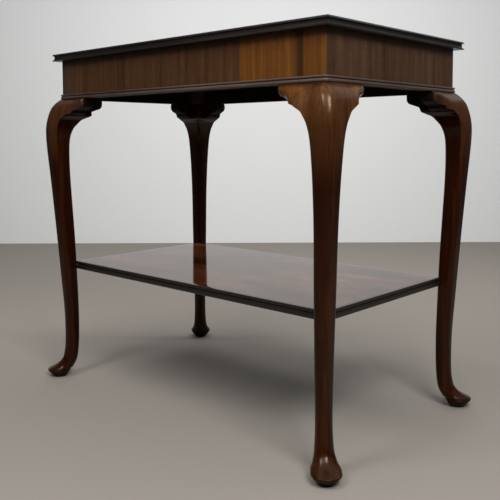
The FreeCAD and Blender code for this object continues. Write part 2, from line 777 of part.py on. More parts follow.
def make_shelf():
    half_x, half_y = face_x - size("shelf_end_inset"), face_y - size("shelf_side_inset")
    width, veneer = size("shelf_edge_width"), size("veneer_thickness")
    inner_x, inner_y = half_x - width, half_y - width
    core = size("shelf_thickness") - veneer
    board = panel("shelf_core", (-inner_x, -inner_y), (inner_x, inner_y), shelf_underside, core)
    drilled = cut("shelf_board", board, corner_holes("shelf", (ACROSS_LENGTH, ACROSS_WIDTH)))
    keep(drilled, "shelf_board")
    keep(panel("shelf_veneer", (-inner_x, -inner_y), (inner_x, inner_y),
               shelf_underside + core, veneer), "shelf_veneer")
    back = cut("shelf_edge_back", shelf_edge("shelf_back", half_x, half_y, True),
               corner_holes("shelf_back", (ACROSS_LENGTH,)))
    keep_pair(back, "shelf_edge_back", ("front", "back"), ACROSS_WIDTH)
    right = cut("shelf_edge_right", shelf_edge("shelf_right", half_y, half_x, False),
                corner_holes("shelf_right", (ACROSS_WIDTH,)))
    keep_pair(right, "shelf_edge_right", ("right", "left"), ACROSS_LENGTH)


# Blocks, screws and dowels

def screw(name, x, y, head_z):
    """A countersunk wood screw that points upwards."""
    shank_radius, head_height = size("screw_radius"), size("screw_head_height")
    point = size("screw_point_height")
    shank_height = size("screw_length") - head_height - point
    head = make("Part::Cone", name + "_head", Radius1=size("screw_head_radius"),
                Radius2=shank_radius, Height=head_height)
    place(head, x, y, head_z)
    shank = make("Part::Cylinder", name + "_shank", Radius=shank_radius, Height=shank_height)
    place(shank, x, y, head_z + head_height)
    tip = make("Part::Cone", name + "_tip", Radius1=shank_radius,
               Radius2=shank_radius * SCREW_TIP_SHARE, Height=point)
    place(tip, x, y, head_z + head_height + shank_height)
    return fuse(name, [head, shank, tip])


def screw_shaft_hole(name, x, y, head_z):
    """A hole as deep as a screw reaches."""
    hole = make("Part::Cylinder", name, Radius=size("screw_radius") + size("hole_clearance"),
                Height=size("screw_length") + size("hole_clearance"))
    place(hole, x, y, head_z)
    return hole


def screw_holes(name, x, y, head_z):
    """What a screw needs cut: its shaft's hole and a countersink that its head seats in."""
    sink = make("Part::Cone", name + "_sink", Radius1=size("screw_head_radius"),
                Radius2=size("screw_radius"), Height=size("screw_head_height"))
    place(sink, x, y, head_z)
    return [screw_shaft_hole(name + "_hole", x, y, head_z), sink]


def copies(item, normals):
    """An object with its mirror images across the table."""
    found = [item]
    for normal in normals:
        for source in list(found):
            other = doc.addObject("Part::Mirroring", f"{item.Name}_copy_{len(found)}")
            other.Source = source
            other.Normal = FreeCAD.Vector(*normal)
            found.append(other)
    return found


def make_blocks():
    """Blocks rubbed into the angle of rail and top, and their screws up into the board."""
    side, half = size("block_side"), size("block_length") / 2
    low = top_underside - side
    inner_x, inner_y = face_x - rail_back, face_y - rail_back
    outer, screws, pilots = face_x - post - size("block_inset"), [], []
    long_centre = -inner_y + side / 2
    blocks = (
        ("glue_block_front_right", (outer, long_centre), (outer - half, -inner_y), True,
         (ACROSS_LENGTH, ACROSS_WIDTH)),
        ("glue_block_front_centre", (0, long_centre), (-half, -inner_y), True, (ACROSS_WIDTH,)),
        ("glue_block_right", (inner_x - side / 2, 0), (inner_x - side, -half), False,
         (ACROSS_LENGTH,)),
    )
    for name, (x, y), (corner_x, corner_y), is_long, normals in blocks:
        lengths = (half * 2, side, side) if is_long else (side, half * 2, side)
        whole = box(name + "_wood", (corner_x, corner_y, low), lengths)
        block = cut(name, whole, screw_holes(name, x, y, low))
        if len(normals) == 2:
            keep_four(block, name)
        else:
            words = ("front", "back") if is_long else ("right", "left")
            keep_pair(block, name, words, normals[0])
        screws += copies(screw(name + "_screw", x, y, low), normals)
        pilots += copies(screw_shaft_hole(name + "_pilot", x, y, low), normals)
    return screws, pilots


def make_fasteners(block_screws):
    group = doc.addObject("Part::Compound", "top_screws")
    group.Links = block_screws
    keep(group, "top_screws")

    place_along, depth = size("ear_screw_place"), size("ear_screw_depth")
    head = knee_top - size("ear_screw_grip")
    long_screw = screw("ear_screw_long", face_x - post - place_along, face_y - depth, head)
    short_screw = screw("ear_screw_short", face_x - depth, face_y - post - place_along, head)
    both = (ACROSS_LENGTH, ACROSS_WIDTH)
    group = doc.addObject("Part::Compound", "ear_screws")
    group.Links = copies(long_screw, both) + copies(short_screw, both)
    keep(group, "ear_screws")

    group = doc.addObject("Part::Compound", "shelf_dowels")
    group.Links = copies(dowel_shape("shelf_dowel", size("dowel_radius"), as_size(0)), both)
    keep(group, "shelf_dowels")


def check_document():
    """Stop before anything is written if an object failed or a sub-part isn't sound."""
    for item in doc.Objects:
        if "Invalid" in item.State or "Error" in item.State:
            raise RuntimeError(f"{item.Name} did not compute: {item.State}")
    for item in pieces:
        if item.Shape.isNull() or not item.Shape.isValid() or not item.Shape.Solids:
            raise RuntimeError(f"{item.Label} has no sound solid")


def write_steps():
    os.makedirs("parts", exist_ok=True)
    for item in pieces:
        item.Shape.exportStep(os.path.join("parts", item.Label + ".step"))


block_screws, top_pilot_holes = make_blocks()
make_top(top_pilot_holes)
make_frieze()
make_bead()
make_legs()
make_ears()
make_shelf()
make_fasteners(block_screws)
doc.recompute()
check_document()
write_steps()
print(f"{len(pieces)} sub-parts, {sum(len(item.Shape.Solids) for item in pieces)} solids")
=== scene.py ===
import math

import bmesh
import bpy
from mathutils import Matrix, Vector


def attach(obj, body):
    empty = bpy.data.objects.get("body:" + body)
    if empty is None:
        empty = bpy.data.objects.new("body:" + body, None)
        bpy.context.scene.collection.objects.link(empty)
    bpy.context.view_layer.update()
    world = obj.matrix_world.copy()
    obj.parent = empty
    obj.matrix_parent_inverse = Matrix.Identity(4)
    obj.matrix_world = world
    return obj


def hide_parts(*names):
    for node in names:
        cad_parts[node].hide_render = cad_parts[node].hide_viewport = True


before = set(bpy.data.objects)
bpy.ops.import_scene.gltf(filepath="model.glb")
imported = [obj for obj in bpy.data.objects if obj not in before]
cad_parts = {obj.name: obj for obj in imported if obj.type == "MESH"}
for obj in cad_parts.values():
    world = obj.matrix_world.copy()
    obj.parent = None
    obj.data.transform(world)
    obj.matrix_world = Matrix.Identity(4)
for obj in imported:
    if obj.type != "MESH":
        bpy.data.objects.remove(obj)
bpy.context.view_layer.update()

# Two-tier walnut side table. Lengths are in millimetres in this script and in metres in
# the meshes. +X is the table's right, +Y its back, +Z up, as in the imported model.
MM = 0.001

# The X and Y of the top, the frieze's face and the shelf run from the middle outwards
TOP_X, TOP_Y, TOP_EDGE = 371, 217, 20
TABLE_HEIGHT, TOP_THICKNESS, FRIEZE_DEPTH = 710, 15, 82.2
FACE_X, FACE_Y = 356.5, 202.5
UNDER_TOP = TABLE_HEIGHT - TOP_THICKNESS
KNEE_TOP = UNDER_TOP - FRIEZE_DEPTH
POST, POST_CORNER, POST_ARRIS = 44, 2.5, 0.4
BEAD_OUT, BEAD_HEIGHT = 4.5, 10.2
LEAF_THICKNESS, LEAF_JOINT = 1, 135.5
SHELF_TOP, SHELF_THICKNESS, SHELF_EDGE = 257, 16.4, 10
SHELF_INSET_X, SHELF_INSET_Y = 10.1, 16.2
SHELF_X, SHELF_Y = FACE_X - SHELF_INSET_X, FACE_Y - SHELF_INSET_Y
# The shelf's corner is clipped by the leg's flat, which lies this deep in from the frieze's corner
FLAT_DEPTH = 21
SHELF_CLIP = SHELF_X + SHELF_Y - (FACE_X + FACE_Y - FLAT_DEPTH * math.sqrt(2))

SIDES = {"front": (0, -1), "back": (0, 1), "left": (-1, 0), "right": (1, 0)}
CORNERS = [(end, side) for end in ("front", "back") for side in ("left", "right")]
# One leg is painted as lit, with its two ears; the others take darker copies as painted shade
LIT_CORNER = ("front", "right")


def lerp(a, b, share):
    return a + (b - a) * share


def smooth_rows(rows, splits):
    """Rows of numbers with more rows between them on a smooth curve; the first number is
    the place along it."""
    out = []
    for i in range(len(rows) - 1):
        a, b = rows[i], rows[i + 1]
        before = rows[i - 1] if i else a
        after = rows[i + 2] if i + 2 < len(rows) else b
        span = b[0] - a[0]
        for step in range(splits):
            t = step / splits
            row = [a[0] + span * t]
            for k in range(1, len(a)):
                slope_a = (b[k] - before[k]) / (b[0] - before[0]) * span
                slope_b = (after[k] - a[k]) / (after[0] - a[0]) * span
                row.append((2 * t ** 3 - 3 * t ** 2 + 1) * a[k] + (t ** 3 - 2 * t ** 2 + t) * slope_a
                           + (3 * t ** 2 - 2 * t ** 3) * b[k] + (t ** 3 - t ** 2) * slope_b)
            out.append(row)
    out.append(list(rows[-1]))
    return out


def rounded(outline, steps):
    """An outline of corners (x, y, radius) as points, each corner rounded in equal steps."""
    points = []
    for i, (x, y, radius) in enumerate(outline):
        corner = Vector((x, y))
        if radius == 0:
            points.append(corner)
            continue
        back = (Vector(outline[i - 1][:2]) - corner).normalized()
        ahead = (Vector(outline[(i + 1) % len(outline)][:2]) - corner).normalized()
        half = back.angle(ahead) / 2
        centre = corner + (back + ahead).normalized() * (radius / math.sin(half))
        start = corner + back * (radius / math.tan(half)) - centre
        end = corner + ahead * (radius / math.tan(half)) - centre
        turn = math.atan2(start.x * end.y - start.y * end.x, start.dot(end))
        for step in range(steps + 1):
            angle = turn * step / steps
            points.append(centre + Matrix.Rotation(angle, 2) @ start)
    return points


def add_piece(name, node, points, faces, grain, material, bevel=0.0, sharp=35, outer=None):
    """A piece that stands for one CAD node. grain holds, for each point, its place in the
    timber: across, through and along the grain. outer tells how far it faces outwards."""
    mesh = bpy.data.meshes.new(name)
    mesh.from_pydata([Vector(p) * MM for p in points], [], faces)
    stored = mesh.attributes.new("grain", "FLOAT_VECTOR", "POINT")
    for item, place in zip(stored.data, grain):
        item.vector = Vector(place) * MM
    if outer:
        mesh.attributes.new("outer", "FLOAT", "POINT").data.foreach_set("value", outer)
    work = bmesh.new()
    work.from_mesh(mesh)
    bmesh.ops.remove_doubles(work, verts=work.verts, dist=0.001 * MM)
    bmesh.ops.recalc_face_normals(work, faces=work.faces)
    work.to_mesh(mesh)
    work.free()
    mesh.shade_smooth()
    mesh.set_sharp_from_angle(angle=math.radians(sharp))
    mesh.materials.append(material)
    piece = bpy.data.objects.new(name, mesh)
    bpy.context.scene.collection.objects.link(piece)
    if bevel:
        edge = piece.modifiers.new("rounding", "BEVEL")
        edge.width = bevel * MM
        edge.segments = 2
        edge.limit_method = "ANGLE"
        edge.angle_limit = math.radians(sharp)
        edge.harden_normals = True
    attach(piece, "root")
    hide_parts(node)
    return piece


def skin(rings):
    """Points and faces of a closed surface through rings of equally many points."""
    points = [p for ring in rings for p in ring]
    size = len(rings[0])
    faces = []
    for i in range(len(rings) - 1):
        for k in range(size):
            a, b = i * size + k, i * size + (k + 1) % size
            faces.append((a, b, b + size, a + size))
    faces.append(tuple(range(size))[::-1])
    last = (len(rings) - 1) * size
    faces.append(tuple(range(last, last + size)))
    return points, faces


# How far apart in the timber the pieces of one kind are cut, across and along the grain
LEG_TIMBER, EAR_TIMBER, LEAF_TIMBER = (700, 900), (300, 400), (600, 500)
BEAD_TIMBER, EDGE_TIMBER = (50, 1500), (90, 800)
# Where in the timber, across the grain, each kind of moulding starts
BEAD_START, TOP_EDGE_START, SHELF_EDGE_START = 200, 0, 60


def own_timber(place, number, apart):
    """A place in the timber, moved so that no two pieces of a kind look alike."""
    across, through, along = place
    return across + apart[0] * number, through, along + apart[1] * number


# Materials

TONE_PLACES = (0.08, 0.5, 0.92)


class Shader:
    """A material under construction. An input of a node is named with _ for a space, or it is
    given by its number as i0, i1 and so on."""

    def __init__(self, name):
        self.material = bpy.data.materials.new(name)
        self.material.use_nodes = True
        self.tree = self.material.node_tree
        self.surface = self.tree.nodes["Principled BSDF"]

    def add(self, kind, settings=None, **inputs):
        node = self.tree.nodes.new("ShaderNode" + kind)
        for key, value in (settings or {}).items():
            setattr(node, key, value)
        for key, value in inputs.items():
            self.put(node, key, value)
        return node

    def put(self, node, key, value):
        names = {item.name.replace(" ", "_"): item for item in reversed(node.inputs)}
        socket = node.inputs[int(key[1:])] if key[0] == "i" and key[1:].isdigit() else names[key]
        if isinstance(value, bpy.types.NodeSocket):
            self.tree.links.new(value, socket)
        else:
            socket.default_value = value

    def math(self, operation, a, b=0.0):
        return self.add("Math", {"operation": operation}, i0=a, i1=b).outputs[0]

    def swing(self, value, reach):
        """A value between 0 and 1 turned into one that swings about nought."""
        return self.math("MULTIPLY", self.math("SUBTRACT", value, 0.5), reach)

    def place(self):
        """The point's place on the table, in metres."""
        return self.add("TexCoord").outputs["Object"]

    def noise(self, vector, scale, detail=3.0, roughness=0.55):
        """Noise over a place scaled by three numbers, features per metre."""
        scaled = self.add("VectorMath", {"operation": "MULTIPLY"}, i0=vector, i1=scale).outputs[0]
        return self.add("TexNoise", None, Vector=scaled, Scale=1.0, Detail=detail,
                        Roughness=roughness).outputs["Fac"]

    def ramp(self, value, stops):
        """Stops are (place, colour) or (place, share)."""
        node = self.add("ValToRGB", None, Fac=value)
        ramp = node.color_ramp
        ramp.interpolation = "EASE"
        ramp.elements[0].position, ramp.elements[-1].position = stops[0][0], stops[-1][0]
        for place, _ in stops[1:-1]:
            ramp.elements.new(place)
        for element, (_, colour) in zip(ramp.elements, stops):
            element.color = (*colour, 1) if isinstance(colour, tuple) else (colour,) * 3 + (1,)
        return node.outputs["Color"]

    def tones(self, value, colours):
        """From the dark tone of a timber over its middle one to the light one."""
        return self.ramp(value, list(zip(TONE_PLACES, colours)))

    def by_place(self, axis, stops):
        """A share that depends on one coordinate of the table, in metres."""
        parts = self.add("SeparateXYZ", None, Vector=self.place()).outputs
        low, high = stops[0][0], stops[-1][0]
        way = self.math("DIVIDE", self.math("SUBTRACT", parts[axis], low), high - low)
        return self.ramp(way, [((place - low) / (high - low), share) for place, share in stops])

    def mix(self, share, a, b):
        node = self.add("Mix", {"data_type": "RGBA", "blend_type": "MIX"})
        for index, value in ((0, share), (6, a), (7, b)):
            if isinstance(value, tuple):
                value = (*value, 1)
            self.put(node, f"i{index}", value)
        return node.outputs[2]


def grain_place(shader, axes, shift):
    """Where a point lies in the timber: across, through and along the grain. A piece without
    places of its own takes them from the table's axes, in the order given."""
    if axes is None:
        return shader.add("Attribute", {"attribute_name": "grain"}).outputs["Vector"]
    parts = shader.add("SeparateXYZ", None, Vector=shader.place()).outputs
    turned = shader.add("CombineXYZ", None, X=parts[axes[0]], Y=parts[axes[1]], Z=parts[axes[2]])
    return shader.add("VectorMath", {"operation": "ADD"}, i0=turned.outputs[0], i1=shift).outputs[0]


# Features of the timber per metre across, through and along the grain
DRIFT_SCALE, DRIFT_REACH = (16, 16, 2.4), 0.020
STREAK_SCALE, FIBRE_SCALE = (420, 300, 7), (1500, 1200, 40)
CURL_SCALE, PATCH_SCALE = (38, 38, 150), (22, 22, 9)
PORE_SCALE, WEAR_SCALE = (2600, 2600, 95), (30, 30, 30)
BAND_SHARE, STREAK_SHARE, FIBRE_SHARE = 1.5, 0.85, 0.35
PORE_STOPS, PORE_SHARE, PORE_DARKNESS = ((0.62, 0.0), (0.74, 1.0)), 0.55, 0.35
# How far a face turns outwards before the worn tones show; faces turned inwards keep the dark tones as
# painted shade
OUTER_STOPS = ((0.1, 0.0), (0.6, 1.0))
# The colour of painted shade, and of the darker strip by the post
DARKENING_TONE = (0.008, 0.0035, 0.002)


def wood(name, colours, gloss, axes=None, shift=(0, 0, 0), stripes=1.0, ripple=0.0, bands=(45, 20, 2.2),
         patches=0.0, sheen_level=0.5, tint=None, wear_and_light=None, shaded=(), dull=None):
    """Polished wood: growth bands, streaks, ripple across the grain and open pores. wear_and_light
    is a second set of tones, for worn polish and painted light, with the heights where it shows;
    shaded a list of (axis, stops) where painted shade, and the darker strip by the post, darken it,
    dull the heights where the polish has gone."""
    shader = Shader(name)
    place = grain_place(shader, axes, shift)
    drift = shader.swing(shader.noise(place, DRIFT_SCALE, 2.0), DRIFT_REACH)
    offset = shader.add("CombineXYZ", None, X=drift, Y=drift).outputs[0]
    bent = shader.add("VectorMath", {"operation": "ADD"}, i0=place, i1=offset).outputs[0]

    streak = shader.noise(bent, STREAK_SCALE, 3.0, 0.6)
    layers = [(streak, STREAK_SHARE * stripes), (shader.noise(bent, FIBRE_SCALE, 2.0, 0.6), FIBRE_SHARE)]
    if ripple:
        layers.append((shader.noise(bent, CURL_SCALE, 2.0, 0.5), ripple))
    if patches:
        layers.append((shader.noise(bent, PATCH_SCALE, 3.0, 0.6), patches))
    tone = shader.swing(shader.noise(bent, bands, 3.0, 0.6), BAND_SHARE)
    for layer, share in layers:
        tone = shader.math("ADD", tone, shader.swing(layer, share))
    tone = shader.math("ADD", tone, 0.5)

    colour = shader.tones(tone, colours)
    if wear_and_light:
        wear_and_light_colours, heights = wear_and_light
        # Worn polish, shown only on faces turned outwards: those under the table keep the dark tones as
        # painted shade
        outer = shader.add("Attribute", {"attribute_name": "outer"}).outputs["Fac"]
        share = shader.math("MULTIPLY", shader.by_place(2, heights), shader.ramp(outer, OUTER_STOPS))
        colour = shader.mix(share, colour, shader.tones(tone, wear_and_light_colours))
    pores = shader.ramp(shader.noise(place, PORE_SCALE, 2.0, 0.5), PORE_STOPS)
    pore_colour = tuple(part * PORE_DARKNESS for part in colours[0])
    colour = shader.mix(shader.math("MULTIPLY", pores, PORE_SHARE), colour, pore_colour)
    # Painted shade, and the darker strip by the post, laid on by place
    for axis, stops in shaded:
        colour = shader.mix(shader.by_place(axis, stops), colour, DARKENING_TONE)
    shader.put(shader.surface, "Base_Color", colour)
    shader.put(shader.surface, "Specular_IOR_Level", sheen_level)
    if tint:
        shader.put(shader.surface, "Specular_Tint", (*tint, 1))

    wear = shader.noise(place, WEAR_SCALE, 3.0)
    roughness = shader.math("ADD", shader.math("MULTIPLY", wear, gloss * 0.6), gloss * 0.7)
    if dull:
        roughness = shader.math("ADD", roughness, shader.by_place(2, dull))
    shader.put(shader.surface, "Roughness", roughness)
    height = shader.math("ADD", shader.math("MULTIPLY", pores, -0.6), shader.math("MULTIPLY", streak, 0.4))
    bump = shader.add("Bump", None, Strength=0.06, Distance=0.0003, Height=height)
    shader.put(shader.surface, "Normal", bump.outputs[0])
    return shader.material


# The polish of the legs and ears has a warm sheen, and painted shade of the bead darkens them just under it
WARM, WARMER = (1.0, 0.82, 0.68), (1.0, 0.78, 0.62)
UNDER_BEAD_SHADE = (2, ((0.6045, 0.0), (0.6085, 0.35), (0.6108, 0.8), (0.6128, 0.92)))
# Painted shade on the pad's base, below its rim, next to the floor
PAD_FOOT_SHADE = (2, ((0.0, 0.97), (0.0140, 0.93), (0.0168, 0.0)))
DULL_PAD = ((0.0, 0.5), (0.013, 0.35), (0.0155, 0.0))
SHANK_TONES = (0.0055, 0.0009, 0.0001), (0.0155, 0.0027, 0.0003), (0.038, 0.0090, 0.0014)
KNEE_TONES = (0.023, 0.0066, 0.0016), (0.060, 0.0215, 0.0066), (0.120, 0.0500, 0.0180)
# Heights, in metres, where the dark polish is worn off the foot and the knee
WORN = ((0.02, 0.24), (0.048, 0.03), (0.08, 0.0), (0.44, 0.0), (0.535, 0.75), (0.57, 1.0))
# Less of the worn tones on the legs painted as shaded
WORN_SHADED = ((0.02, 0.12), (0.048, 0.0), (0.46, 0.0), (0.535, 0.50), (0.57, 0.74))


def leg_wood(name, heights):
    return wood(name, SHANK_TONES, gloss=0.22, bands=(60, 45, 3.0), stripes=0.55,
                wear_and_light=(KNEE_TONES, heights), shaded=(UNDER_BEAD_SHADE, PAD_FOOT_SHADE), dull=DULL_PAD,
                sheen_level=0.22, tint=WARMER)


def ear_wood(name, colours, gloss=0.25, shaded=(UNDER_BEAD_SHADE,), sheen_level=0.22, tint=WARM):
    return wood(name, colours, gloss=gloss, bands=(60, 45, 6.0), shaded=shaded, sheen_level=sheen_level,
                tint=tint)


LEG = leg_wood("walnut_leg", WORN)
# The other legs: a darker copy, as painted shade
LEG_SHADED = leg_wood("walnut_leg_dark", WORN_SHADED)
EAR = ear_wood("walnut_ear", ((0.036, 0.0100, 0.0014), (0.086, 0.0280, 0.0050), (0.155, 0.0620, 0.0155)))
# The other ears: a darker copy, as painted shade
EAR_SHADED = ear_wood("walnut_ear_dark",
                    ((0.0180, 0.0058, 0.0018), (0.042, 0.0155, 0.0060), (0.080, 0.0330, 0.0140)))
# The ears' undersides and backs: near black, as painted shade
EAR_PAINTED_SHADE = ear_wood("walnut_ear_under",
                     ((0.0030, 0.0012, 0.0006), (0.0075, 0.0030, 0.0014), (0.016, 0.0070, 0.0035)),
                     gloss=0.60, shaded=(), sheen_level=0.12, tint=None)

# The veneer of the frieze, and the faces of the posts between its leaves
# Painted shadow of the top's overhang on the upper part of the frieze
UNDER_TOP_SHADOW = (2, ((0.686, 0.0), (0.694, 0.6)))
# The light leaf turns darker over its last 27 mm, next to the post
POST_JOINT_DARKENING = (0, ((0.285, 0.0), (0.2995, 0.35), (0.3035, 0.75), (0.3125, 0.7)))
LIGHT_BANDS, DARK_BANDS = (95, 5, 3.5), (75, 5, 4.0)


def frieze_wood(name, colours, bands, stripes, ripple=0.0, darkening=(UNDER_TOP_SHADOW,)):
    return wood(name, colours, gloss=0.40, bands=bands, stripes=stripes, ripple=ripple, shaded=darkening,
                sheen_level=0.22)


LEAF_LIGHT = frieze_wood("veneer_light",
                         ((0.056, 0.0170, 0.0024), (0.112, 0.0390, 0.0058), (0.175, 0.0690, 0.0125)),
                         LIGHT_BANDS, 0.7, 0.30, (UNDER_TOP_SHADOW, POST_JOINT_DARKENING))
LEAF_DARK = frieze_wood("veneer_dark",
                        ((0.029, 0.0115, 0.0040), (0.054, 0.0225, 0.0082), (0.086, 0.0390, 0.0158)),
                        DARK_BANDS, 0.6, 0.22)
LEAF_END = frieze_wood("veneer_end",
                       ((0.027, 0.0120, 0.0056), (0.056, 0.0265, 0.0130), (0.094, 0.0475, 0.0250)),
                       DARK_BANDS, 0.7, 0.22)
POST_LIGHT = frieze_wood("post_light",
                         ((0.047, 0.0140, 0.0018), (0.096, 0.0320, 0.0044), (0.158, 0.0600, 0.0100)),
                         LIGHT_BANDS, 1.1)
POST_DARK = frieze_wood("post_dark",
                        ((0.026, 0.0125, 0.0070), (0.051, 0.0265, 0.0160), (0.085, 0.0460, 0.0280)),
                        DARK_BANDS, 0.8)

# Mouldings
BLACKED = wood("dark_moulding", ((0.0035, 0.0025, 0.0020), (0.0080, 0.0055, 0.0045), (0.018, 0.011, 0.0080)),
               gloss=0.34, stripes=0.7)
BEAD = wood("bead_moulding", ((0.029, 0.0175, 0.0140), (0.072, 0.0460, 0.0370), (0.120, 0.0780, 0.0610)),
            gloss=0.50, stripes=0.8, sheen_level=0.30)

# The table's axes that lie across, through and along the grain of a piece
ALONG_X, ALONG_Y, ALONG_Z = (1, 2, 0), (0, 2, 1), (0, 1, 2)
SHELF = wood("shelf_figured", ((0.018, 0.0045, 0.0015), (0.070, 0.0200, 0.0070), (0.180, 0.0640, 0.0240)),
             gloss=0.05, axes=ALONG_X, shift=(0.3, 0, 0.2), bands=(28, 5, 6.0), ripple=0.50, patches=1.3,
             sheen_level=0.3, tint=(1.0, 0.88, 0.83))
SHELF_RIM = wood("shelf_rim", ((0.020, 0.0065, 0.0030), (0.045, 0.0150, 0.0070), (0.090, 0.0340, 0.0160)),
                 gloss=0.07, stripes=0.8, sheen_level=0.3, tint=(1.0, 0.90, 0.86))
TOP = wood("top_figured", ((0.036, 0.0125, 0.0050), (0.095, 0.0370, 0.0150), (0.180, 0.0800, 0.0340)),
           gloss=0.10, axes=ALONG_X, shift=(0.1, 0, 0.6), bands=(26, 5, 5.0), ripple=0.30, patches=0.8)

# Hidden pieces: softwood painted near black as the shade under the table, rusty screws and stained dowels
PINE_SHADE_TONES = (0.004, 0.0025, 0.0017), (0.009, 0.0058, 0.0038), (0.018, 0.0115, 0.0075)
PINE_LONG, PINE_SHORT = (wood(name, PINE_SHADE_TONES, gloss=0.75, axes=axes, bands=(60, 60, 2), sheen_level=0.05)
                         for name, axes in (("softwood_long", ALONG_X), ("softwood_short", ALONG_Y)))


def steel():
    shader = Shader("screw_steel")
    rust = shader.ramp(shader.noise(shader.place(), (700, 700, 700), 3.0), ((0.45, 0.0), (0.7, 1.0)))
    shader.put(shader.surface, "Base_Color", shader.mix(rust, (0.30, 0.29, 0.28), (0.10, 0.045, 0.020)))
    shader.put(shader.surface, "Metallic", shader.math("SUBTRACT", 1.0, shader.math("MULTIPLY", rust, 0.8)))
    shader.put(shader.surface, "Roughness", shader.math("ADD", 0.35, shader.math("MULTIPLY", rust, 0.4)))
    return shader.material


STEEL = steel()
BEECH = wood("beech_stained", ((0.0035, 0.0025, 0.0020), (0.0090, 0.0060, 0.0045), (0.020, 0.012, 0.0085)),
             gloss=0.6, axes=ALONG_Z, sheen_level=0.15)


# Legs

PAD_RISE, PAD_RADIUS, PAD_ARRIS, PAD_STEP, PAD_REACH = 13.5, 24.7, 3.4, 0.6, 13.6
PAD_TOP = PAD_RISE + PAD_ARRIS
BASE_RADIUS, BASE_REACH = 13, 12
EAR_LENGTH, EAR_DEPTH, EAR_THICKNESS = 45, 35.5, 20
# Rows of the leg: height as a share of the stretch, outward and inward reach as shares of the
# post, and the outer, side and inner roundings as shares of half the width. They follow the
# part's rows, with the roundings next to the knee a little smoother
SHANK_ROWS = (
    (0.0055, 0.750, 0.323, 0.95, 0.95, 0.95),
    (0.0162, 0.541, 0.359, 0.93, 0.95, 0.93),
    (0.0270, 0.402, 0.402, 0.93, 0.95, 0.93),
    (0.0412, 0.284, 0.434, 0.93, 0.95, 0.93),
    (0.0591, 0.224, 0.459, 0.93, 0.96, 0.93),
    (0.0948, 0.159, 0.475, 0.84, 0.96, 0.84),
    (0.1483, 0.136, 0.486, 0.76, 0.95, 0.76),
    (0.2375, 0.143, 0.480, 0.64, 0.82, 0.64),
    (0.3624, 0.216, 0.432, 0.46, 0.70, 0.46),
    (0.5052, 0.316, 0.384, 0.40, 0.65, 0.40),
    (0.6479, 0.430, 0.318, 0.42, 0.66, 0.42),
    (0.7728, 0.543, 0.272, 0.48, 0.56, 0.50),
    (0.8621, 0.636, 0.268, 0.54, 0.47, 0.50),
    (0.9156, 0.676, 0.302, 0.54, 0.36, 0.44),
    (0.9513, 0.680, 0.412, 0.525, 0.24, 0.30),
    (0.9727, 0.658, 0.566, 0.500, 0.13, 0.16),
    (0.9839, 0.638, 0.673, 0.480, 0.09, 0.10),
    (0.9936, 0.618, 0.880, 0.436, 0.05, 0.05),
    (1.0000, 0.603, 1.000, 0.420, 0.02, 0.02),
)
KNEE_ROWS = (
    (0.0, 0.603, 1.000, 0.420, 0.02, 0.02),
    (0.25, 0.557, 1.000, 0.455, 0.02, 0.02),
    (0.49, 0.485, 1.000, 0.480, 0.02, 0.02),
    (0.70, 0.375, 1.000, 0.490, 0.02, 0.02),
    (0.87, 0.245, 1.000, 0.450, 0.02, 0.02),
)
ROUND_STEPS, ROW_SPLITS = 14, 4


def leg_ring(height, outward, inward, radii):
    """A rounded square across the leg, outwards from the corner of the frieze."""
    outer, side, inner = radii
    low = -inward
    outline = [(outward, outward, outer), (low, outward, side), (low, low, inner), (outward, low, side)]
    return [(p.x, p.y, height) for p in rounded(outline, ROUND_STEPS)]


def pad_ring(height, reach, radius):
    return leg_ring(height, reach + radius, radius - reach, [radius * 0.998] * 3)


def pad_rings():
    """The pad: a flared base, an upright rim with soft edges and a small step to the foot."""
    soft = 0.5
    rings = [pad_ring(0, BASE_REACH, BASE_RADIUS - soft), pad_ring(soft, BASE_REACH, BASE_RADIUS)]
    for share in (0.3, 0.6, 0.96):
        rings.append(pad_ring(PAD_RISE * share, lerp(BASE_REACH, PAD_REACH, share),
                              lerp(BASE_RADIUS, PAD_RADIUS, share)))
    rings += [
        pad_ring(PAD_RISE + soft, PAD_REACH, PAD_RADIUS),
        pad_ring(PAD_TOP - soft, PAD_REACH, PAD_RADIUS),
        pad_ring(PAD_TOP, PAD_REACH, PAD_RADIUS - soft),
        pad_ring(PAD_TOP, PAD_REACH, PAD_RADIUS - PAD_STEP),
    ]
    return rings


def leg_rings():
    """The rings of a whole leg from the floor up: pad, shank, knee and square post."""
    rings = pad_rings()
    radius = PAD_RADIUS - PAD_STEP
    root = KNEE_TOP - EAR_DEPTH
    rows = [(PAD_TOP, PAD_REACH + radius, radius - PAD_REACH, 0.98, 0.98, 0.98)]
    for part, low, high in ((SHANK_ROWS, PAD_TOP, root), (KNEE_ROWS[1:], root, KNEE_TOP)):
        for share, outward, inward, *rounds in part:
            rows.append((lerp(low, high, share), POST * outward, POST * inward, *rounds))
    crown = (POST_CORNER + BEAD_OUT) / ((POST + BEAD_OUT) / 2)
    rows.append((KNEE_TOP, BEAD_OUT, POST, crown, 0.02, 0.02))
    for height, outward, inward, *rounds in smooth_rows(rows, ROW_SPLITS):
        half = (outward + inward) / 2
        rings.append(leg_ring(height, outward, inward, [half * share for share in rounds]))
    for height in (KNEE_TOP, UNDER_TOP):
        rings.append(leg_ring(height, 0, POST, (POST_CORNER, POST_ARRIS, POST_ARRIS)))
    return rings


def facing_out(ring):
    """For each point of a leg's ring, how far its face turns away from the table's middle."""
    shares = []
    for i in range(len(ring)):
        before, after = ring[i - 1], ring[(i + 1) % len(ring)]
        normal = Vector((after[1] - before[1], before[0] - after[0]))
        shares.append(max(*normal.normalized(), 0) if normal.length > 0 else 0)
    return shares


